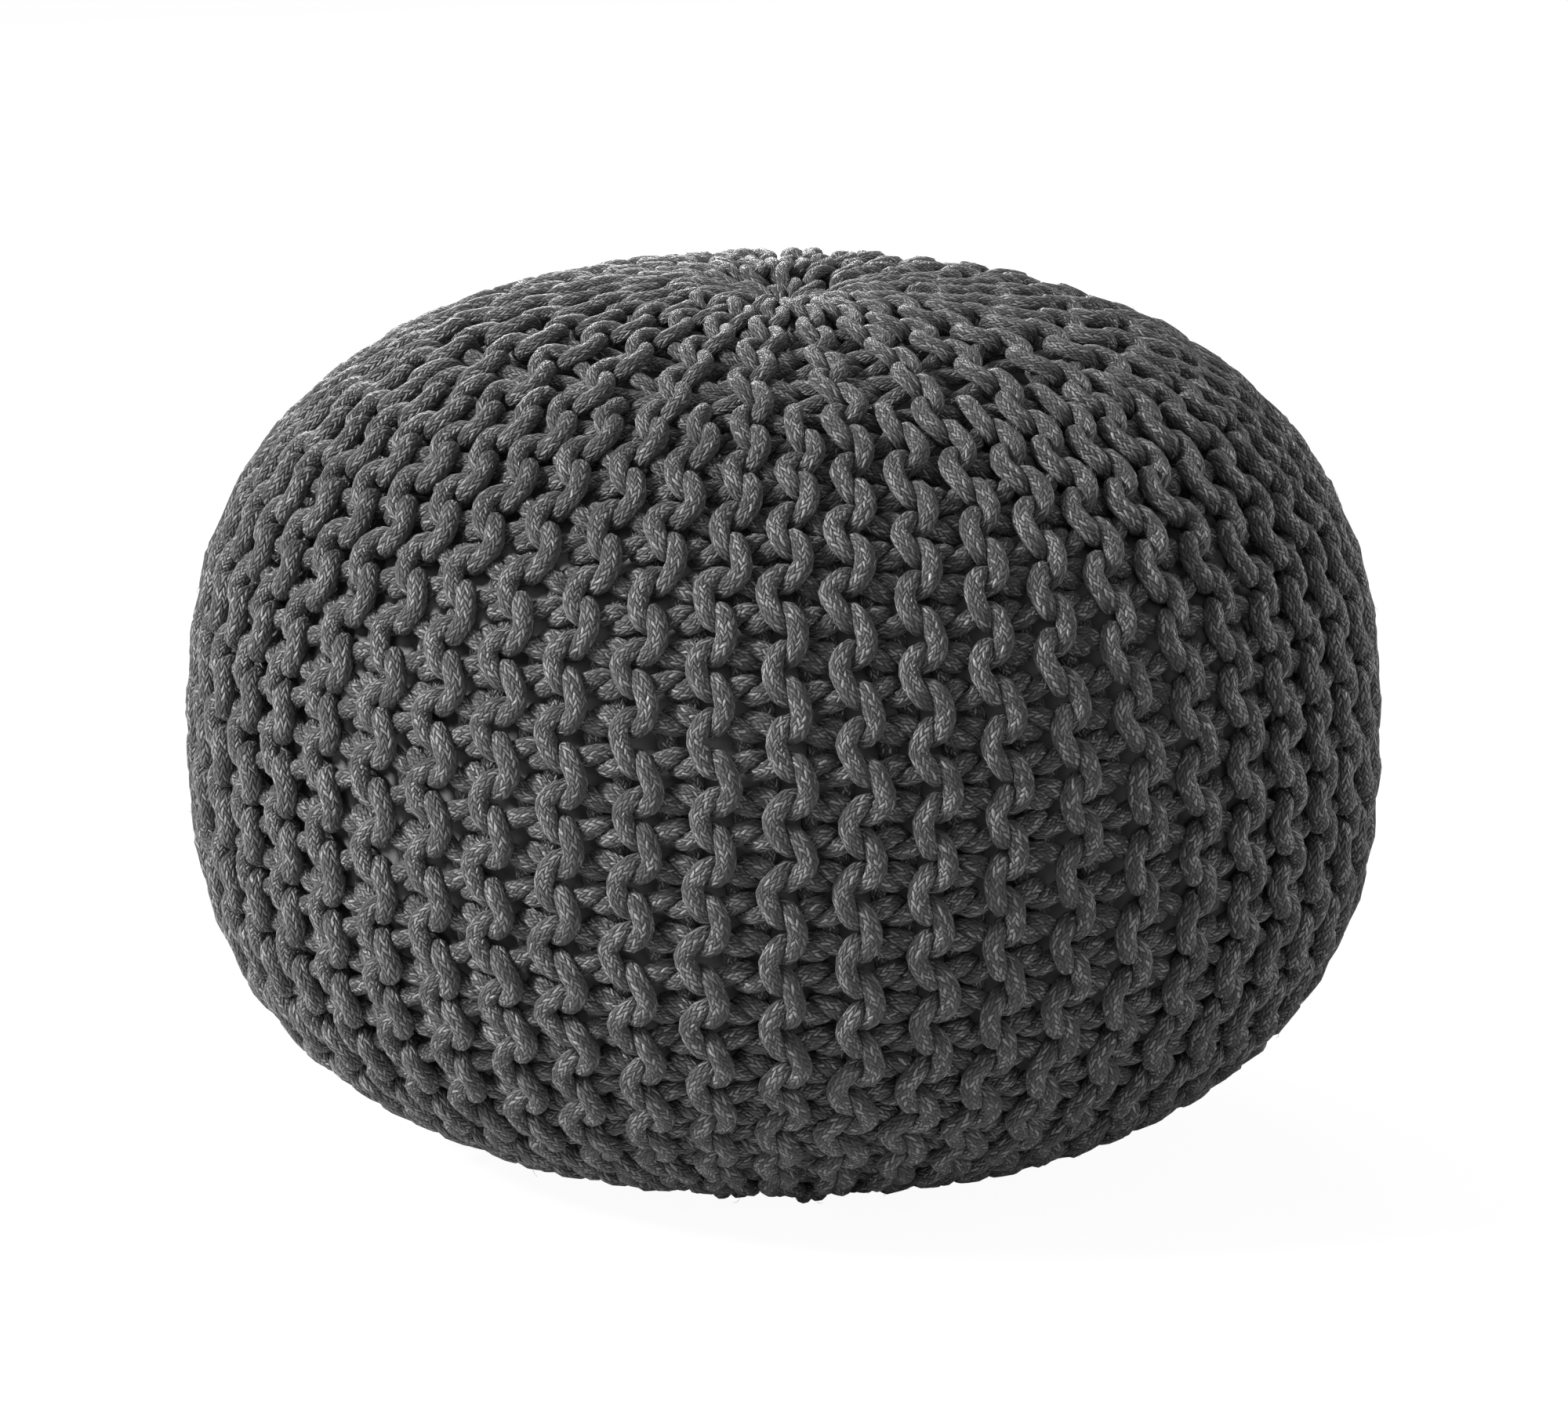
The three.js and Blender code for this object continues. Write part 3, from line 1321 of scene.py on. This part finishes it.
    def draw(self, surface: Surface, right: Value, left: Value, way: Value) -> Value:
        """Draws one random number for each stretch of yarn that shows.

        Args:
            surface: The material.
            right: Number of the yarn that climbs to the right.
            left: Number of the yarn that climbs to the left.
            way: 1 where the second of them shows, or else 0.

        Returns:
            The number, from 0 to 1.
        """
        shown = way.mixed(right, left)
        other = way.mixed(left, right)
        stretch = ((other + shown) * 0.5).floor()
        place = surface.node("CombineXYZ", sockets={0: shown, 1: stretch, 2: way})
        noise = surface.node("TexWhiteNoise", sockets={"Vector": place.outputs[0]})
        return surface.value(noise.outputs["Value"])

    def dust(self, surface: Surface, run: Socket) -> Value:
        """Slow change along the cord, from 0 to 1."""
        stretched = surface.vector_math("MULTIPLY", run, self.DUST)
        return surface.value(surface.noise(stretched, 1.0).outputs[0]).between(*self.DUST_EDGES)

    def colours(self, surface: Surface, crown: Value, fibres: Value, draw: Value, wear_and_highlight: Value) -> Socket:
        """The yarns' colour: painted shade between them, and paler on a few rubbed stretches, partly painted
        highlight.

        Args:
            surface: The material.
            crown: How high the yarn stands, from 0 to 1.
            fibres: Its fibres.
            draw: The random number of its stretch.
            wear_and_highlight: How far it is rubbed pale, partly painted highlight, from 0 to 1.

        Returns:
            The colour.
        """
        # Painted shade: the yarns darken to the deep colour in the gaps between them, where they dive under
        # one another.
        body = surface.blend(crown.between(*self.SHOWN_CROWNS), self.deep, self.colour)
        least, drawn, fibrous = self.TONES
        tone = least + drawn * draw + fibrous * fibres
        # The pale fleck colour: partly real wear, partly painted highlight.
        return surface.blend(wear_and_highlight, surface.scaled(body, tone), self.fleck_and_highlight)


@dataclass(frozen=True)
class LinerCloth:
    """The liner's finish: plain smooth cloth.

    Args:
        colour: Colour of the cloth, made paler than the cloth is: painted light that lifts it out of the
            cord's shade.
        blotches: Blotches of lighter and darker cloth in a metre.
        tones: The cloth's least tone, and what a blotch adds.
        thread: Size of a thread of the weave.
        relief: Height of the weave.
        roughness: Roughness of the cloth.
    """

    # Painted light: the cloth is paler than its own grey, so that it reads lit in the cord's shade.
    colour: Colour = (0.21, 0.21, 0.21)
    blotches: float = 22.0
    tones: tuple[float, float] = (0.8, 0.4)
    thread: float = 0.6 * MM
    relief: float = 0.2 * MM
    roughness: float = 0.85

    def material(self) -> bpy.types.Material:
        """Builds the material.

        Returns:
            The material.
        """
        surface = Surface("liner_cloth")
        place = surface.node("TexCoord").outputs["Object"]
        blotch = surface.value(surface.noise(place, self.blotches, 3.0).outputs[0])
        weave = surface.value(surface.noise(place, 1 / self.thread / 2).outputs[0])
        looks = {
            "Base Color": surface.scaled(self.colour, self.tones[0] + self.tones[1] * blotch),
            "Roughness": self.roughness,
            "Normal": surface.bump(weave, self.relief, 0.5),
        }
        return surface.finish(surface.node("BsdfPrincipled", sockets=looks).outputs["BSDF"])


@dataclass(frozen=True)
class StudioFloor:
    """The floor's finish: pale and plain, near white to the camera, with the pouf's shadow kept.

    Args:
        colour: Colour of the floor.
        veil: Share of plain white that the camera sees over it.
        white: Strength of that white.
    """

    colour: Colour = (0.60, 0.60, 0.60)
    veil: float = 0.85
    white: float = 1.12

    def material(self) -> bpy.types.Material:
        """Builds the material.

        Returns:
            The material.
        """
        surface = Surface("studio_floor")
        matt = surface.node("BsdfDiffuse", sockets={"Color": (*self.colour, 1)}).outputs[0]
        lit = surface.node("Emission", sockets={"Color": (1, 1, 1, 1), "Strength": self.white}).outputs[0]
        to_camera = surface.value(surface.node("LightPath").outputs["Is Camera Ray"])
        mixed = surface.node("MixShader", sockets={0: to_camera * self.veil, 1: matt, 2: lit})
        return surface.finish(mixed.outputs[0])


# --- Sub-assemblies ---


@dataclass(frozen=True)
class StrayFibres:
    """Short loose fibres drawn out of the cord by handling.

    Args:
        count: Number of fibres.
        length: Their usual length.
        lengths: Shortest and longest, as shares of it.
        thickness: Thickness where they leave the cord.
        taper: How much thinner they end, as a share.
        rises: How flat and how steep they leave the cord, as shares of the length.
        bend: How far they bend aside, as a share of the length.
        joints: Points along each.
        sides: Sides of each.
    """

    count: int = 1500
    length: float = 5 * MM
    lengths: tuple[float, float] = (0.4, 1.5)
    thickness: float = 0.22 * MM
    taper: float = 0.6
    rises: tuple[float, float] = (0.25, 0.8)
    bend: float = 0.22
    joints: int = 5
    sides: int = 3

    TRIES = 6  # places drawn for each fibre, as most don't face outwards
    FACING = 0.45  # least cosine of the angle between the cord's surface and outwards
    ROOTED = 0.03  # share of the length that stays in the cord
    FALL = 1.3  # lengths along a fibre at which it would be back at the cord
    TRAIL = (0.8, 1.3)  # share of the length, and power, by which it trails along the cord
    BEND_TURN = 3  # radians of a sine wave that it bends aside by
    MARGIN = 0.1  # of a fibre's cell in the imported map

    def grow(self, rings: Array, centres: Array, middle: float, random: np.random.Generator) -> MeshData:
        """Grows the fibres out of the side of the cord that faces outwards.

        Args:
            rings: Ring vertices of the whole cord.
            centres: Ring centres.
            middle: Height of the middle of the body.
            random: Source of their places and bends.

        Returns:
            The fibres as one mesh.
        """
        ring = random.integers(1, len(centres) - 1, self.TRIES * self.count)
        root = rings[ring, random.integers(0, rings.shape[1], len(ring))]
        outward = unit(root - centres[ring])
        facing = np.einsum("ij,ij->i", outward, unit(root - (0, 0, middle)))
        chosen = np.flatnonzero(facing > self.FACING)[: self.count]
        root, outward = root[chosen], outward[chosen]
        heading = unit(centres[ring[chosen] + 1] - centres[ring[chosen] - 1])
        turn = random.uniform(0, 2 * math.pi, (len(chosen), 1))
        level = np.cos(turn) * heading + np.sin(turn) * np.cross(outward, heading)
        aside = np.cross(outward, level)
        share = np.linspace(0, 1, self.joints)[None, :, None]
        bend = random.normal(scale=self.bend, size=(len(chosen), 1, 1))
        rise = random.uniform(*self.rises, (len(chosen), 1, 1))
        course = (rise * share * (self.FALL - share) - self.ROOTED) * outward[:, None]
        course = course + self.TRAIL[0] * share ** self.TRAIL[1] * level[:, None]
        course = course + bend * np.sin(self.BEND_TURN * share) * aside[:, None]
        reach = self.length * random.uniform(*self.lengths, (len(chosen), 1, 1))
        line = root[:, None] + reach * course
        angle = round_steps(self.sides)
        around = np.cos(angle)[:, None] * outward[:, None] + np.sin(angle)[:, None] * aside[:, None]
        thickness = self.thickness / 2 * (1 - self.taper * share[..., None])
        vertices = line[:, :, None] + thickness * around[:, None]
        vertices[..., 2] = np.maximum(vertices[..., 2], 0)
        return self.mesh(vertices, random)

    def mesh(self, vertices: Array, random: np.random.Generator) -> MeshData:
        """Joins the fibres' rings into one mesh with the cord's maps.

        Args:
            vertices: Vertices, indexed by fibre, joint and side.
            random: Source of the place on the braid whose colour each fibre has.

        Returns:
            The mesh.
        """
        count, joints, sides = vertices.shape[:3]
        fibre = np.arange(count)[:, None, None, None]
        joint, side = tube_corners(joints, sides)
        quads = (fibre * joints + joint) * sides + side % sides
        grid = math.ceil(math.sqrt(count))
        within = 1 - 2 * self.MARGIN
        x = (fibre % grid + self.MARGIN + within * joint / (joints - 1)) / grid
        y = (fibre // grid + self.MARGIN + within * side / sides) / grid
        start = random.uniform(0, 1, (count, 1, 1, 1))
        run = np.stack([start + 1 * MM * joint, start + 0.02 * side], -1)
        maps = {"CordRun": run.reshape(-1, 2), "OFBake": np.stack([x, y], -1).reshape(-1, 2)}
        return MeshData(vertices.reshape(-1, 3), [quads.reshape(-1, 4)], maps)


def dress(piece: bpy.types.Object, material: bpy.types.Material, node: str) -> None:
    """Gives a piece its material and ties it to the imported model.

    Args:
        piece: The piece.
        material: Its material.
        node: The CAD node that it stands for.
    """
    piece.data.materials.append(material)
    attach(piece, "root")
    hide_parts(node)


@dataclass
class KnitCover:
    """The knitted cover, one mesh for each gore.

    Args:
        form: The body.
        plan: The knitting plan.
        finish: The cord's finish.
        fibres: The loose fibres on it.
        seed: Seed of the knitting's unevenness.
    """

    form: PoufForm
    plan: GarterPlan
    finish: BraidedCotton
    fibres: StrayFibres
    seed: int = 7

    QUICK_STEPS = 24  # of settling
    FINE = 6  # parts of a step of the planned path when it is resampled

    def build(self) -> list[bpy.types.Object]:
        """Knits the cover.

        Returns:
            The stray fibres, then the gores in order round the pouf.
        """
        settler = Settler(self.form, self.plan)
        laid, starts = KnitPath(self.plan.opened(), self.form, Unevenness(self.seed)).lay()
        closed, starts = KnitPath(self.plan, self.form, Unevenness(self.seed)).lay()
        lines = [fine_line(path, self.FINE) for path in (laid, closed)]
        run = running_length(lines[0])
        count = round(run[-1] / settler.spacing)
        even = np.linspace(0, run[-1], count + 1)
        laid, closed = (sampled(line, run, even) for line in lines)
        points = settler.settle(laid, closed)
        cut = run[np.array(starts) * self.FINE] / run[-1] * count
        log.info("cord: %.1f m in %d stitch rows", running_length(points)[-1], self.plan.rows)
        return self.sweep(points, cut, np.random.default_rng(self.seed))

    def sweep(self, points: Array, cuts: Array, random: np.random.Generator) -> list[bpy.types.Object]:
        """Sweeps the cord and cuts it into gores.

        Args:
            points: The settled nodes.
            cuts: Node at which each gore starts.
            random: Source of the cord's lumps and of the fibres.

        Returns:
            The stray fibres and the gores.
        """
        sweep = CordSweep(self.plan.cord)
        line = sweep.line(points)
        places = np.arange(len(line))
        where = np.interp(np.linspace(0, 1, sweep.rings), sweep.shares(line), places)
        centres = sampled(line, places, where)
        along = np.interp(where, places, running_length(line))
        rings = sweep.ring_vertices(centres, sweep.radii(centres, along, random))
        sweep.press(rings, centres, line, where)
        parts = (len(line) - 1) / (len(points) - 1)
        edges = np.append(np.searchsorted(where, cuts * parts), sweep.rings - 1)
        pieces = [self.fibres.grow(rings, centres, self.form.widest, random).build("stray_fibres")]
        for gore, (first, last) in enumerate(zip(edges, edges[1:]), start=1):
            run = slice(first, last + 1)
            pieces.append(sweep.tube(rings[run], along[run]).build(f"knit_gore_{gore:02d}"))
        material = self.finish.material()
        for piece in pieces:
            dress(piece, material, COVER_NODE)
        return pieces


@dataclass
class Liner:
    """The filled cloth bag inside the cover.

    Args:
        form: The body.
        inset: How far it lies inside the crests of the knitting.
        top_drop: How much further in it lies at the top.
        finish: The cloth's finish.
        swell: How far the filling's soft swells reach.
        rings: Rings from the top to the underside.
        sectors: Faces in a ring.
    """

    form: PoufForm
    inset: float
    top_drop: float
    finish: LinerCloth
    swell: float = 0.6 * MM
    rings: int = 55
    sectors: int = 120

    SWELLS = ((3, 9), (5, -14))  # waves round the bag, and radians in a metre from its top down

    def build(self) -> bpy.types.Object:
        """Builds the bag.

        Returns:
            The liner.
        """
        outline = self.form.outline(self.inset, self.top_drop)
        arc = np.linspace(0, outline.length, self.rings + 2)[1:-1]
        grids = np.meshgrid(arc, round_steps(self.sectors), indexing="ij")
        arcs, azimuths = (grid.ravel() for grid in grids)
        swell = sum(np.sin(turns * azimuths + rise * arcs) for turns, rise in self.SWELLS)
        vertices = outline.place(arcs, azimuths, -self.swell * (1 + 0.5 * swell))
        poles = np.array([[0, 0, outline.height[0]], [0, 0, outline.height[-1]]])
        ring, side = tube_corners(self.rings, self.sectors)
        downwards = [0, 3, 2, 1]
        quads = (ring * self.sectors + side % self.sectors)[..., downwards].reshape(-1, 4)
        here = np.arange(self.sectors)
        following = (here + 1) % self.sectors
        top = np.full_like(here, len(vertices))
        last = len(vertices) - self.sectors
        base = np.stack([last + following, last + here, top + 1], axis=1)
        fans = np.concatenate([np.stack([here, following, top], axis=1), base])
        liner = MeshData(np.concatenate([vertices, poles]), [quads, fans], {}).build("liner_bag")
        dress(liner, self.finish.material(), LINER_NODE)
        return liner


@dataclass(frozen=True)
class Lamp:
    """A square soft lamp that faces the pouf.

    Args:
        name: Name of the lamp.
        place: Where it hangs.
        size: Width of its face.
        power: Its power in watts.
    """

    name: str
    place: tuple[float, float, float]
    size: float
    power: float

    def hang(self, aim_height: float) -> None:
        """Hangs the lamp.

        Args:
            aim_height: Height on the axis that it faces.
        """
        light = bpy.data.lights.new(self.name, "AREA")
        light.size = self.size
        light.energy = self.power
        lamp = bpy.data.objects.new(self.name, light)
        lamp.location = self.place
        aim = Vector((0, 0, aim_height)) - Vector(self.place)
        lamp.rotation_euler = aim.to_track_quat("-Z", "Y").to_euler()
        bpy.context.scene.collection.objects.link(lamp)


@dataclass
class Studio:
    """The plain pale floor, the soft light and the camera.

    Args:
        floor: The floor's finish.
        floor_size: Width of the floor.
        floor_gap: How far it lies below the pouf.
        elevation: Angle of the camera above level.
        distance: Distance of the camera.
        aim_height: Height that it looks at.
        lens: Focal length for a sensor of 36 mm.
        ambient: Strength of the light from all round.
        lamps: The lamps.
    """

    floor: StudioFloor
    floor_size: float = 24.0
    floor_gap: float = 0.2 * MM
    elevation: float = math.radians(14.5)
    distance: float = 3.0
    aim_height: float = 180.1 * MM
    lens: float = 162.8
    ambient: float = 0.26
    lamps: Sequence[Lamp] = (
        Lamp("key", (-2.3, -1.0, 1.9), 0.5, 114.0),
        Lamp("side", (-2.2, -1.9, 1.2), 1.2, 15.0),
        Lamp("fill", (2.2, -1.8, 1.2), 1.6, 9.0),
        Lamp("back", (-0.6, 2.6, 1.1), 1.2, 62.0),
        Lamp("rim", (2.6, 1.5, 0.8), 0.8, 22.0),
    )

    def build(self) -> None:
        """Builds the studio."""
        self.build_floor()
        self.build_world()
        for lamp in self.lamps:
            lamp.hang(self.aim_height)
        self.build_camera()
        bpy.context.scene.view_settings.view_transform = "Standard"

    def build_floor(self) -> None:
        """Lays the floor."""
        half = self.floor_size / 2
        corners = np.array([[-half, -half, 0], [half, -half, 0], [half, half, 0], [-half, half, 0]])
        floor = MeshData(corners - (0, 0, self.floor_gap), [np.array([[0, 1, 2, 3]])], {}).build("floor")
        floor.data.materials.append(self.floor.material())

    def build_world(self) -> None:
        """Lights the scene softly from all round, with white behind it."""
        world = bpy.data.worlds.new("studio")
        world.use_nodes = True
        background = world.node_tree.nodes["Background"]
        background.inputs["Color"].default_value = (1, 1, 1, 1)
        background.inputs["Strength"].default_value = self.ambient
        bpy.context.scene.world = world

    def build_camera(self) -> None:
        """Sets the camera in front of the pouf, looking down at it."""
        data = bpy.data.cameras.new("camera")
        data.sensor_width = 36
        data.lens = self.lens
        data.clip_end = 50
        camera = bpy.data.objects.new("camera", data)
        level = self.distance * math.cos(self.elevation)
        camera.location = (0, -level, self.aim_height + self.distance * math.sin(self.elevation))
        camera.rotation_euler = (math.pi / 2 - self.elevation, 0, 0)
        bpy.context.scene.collection.objects.link(camera)
        bpy.context.scene.camera = camera


def main() -> None:
    """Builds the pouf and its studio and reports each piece."""
    logging.basicConfig(level=logging.INFO, format="%(name)s %(message)s")
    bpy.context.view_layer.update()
    form = PoufForm.from_frame()
    plan = GarterPlan()
    pieces = KnitCover(form, plan, BraidedCotton(), StrayFibres()).build()
    pieces.append(Liner(form, plan.thickness + 0.3 * MM, plan.top_drop, LinerCloth()).build())
    for piece in pieces:
        log.info("%s: %d faces", piece.name, len(piece.data.polygons))
    Studio(StudioFloor()).build()


if __name__ == "__main__":
    main()
